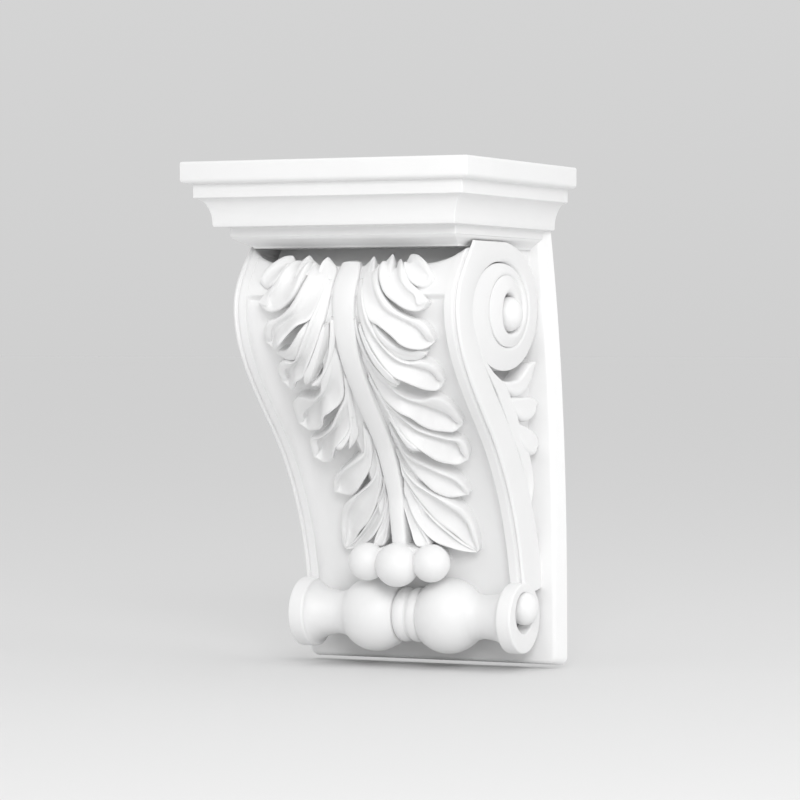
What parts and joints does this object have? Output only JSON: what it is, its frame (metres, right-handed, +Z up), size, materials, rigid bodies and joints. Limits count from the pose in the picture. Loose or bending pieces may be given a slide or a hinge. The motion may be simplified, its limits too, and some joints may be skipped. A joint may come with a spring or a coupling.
{
  "type": "corbel",
  "caption": "Moulded wall corbel: stepped cap over an S-curved console with an acanthus leaf, berries, side volutes and a turned roll at the foot.",
  "frame": {"origin": "middle of the flat back, on the wall's plane, half way up the corbel's height", "axes": "+X along the corbel's width, +Y into the wall, so the front faces -Y, and +Z up"},
  "size_m": [0.19, 0.166, 0.31],
  "materials": {
    "casting": "smooth white primed high-density polyurethane, satin"
  },
  "bodies": {
    "root": {"corbel": "casting"}
  },
  "joints": []
}
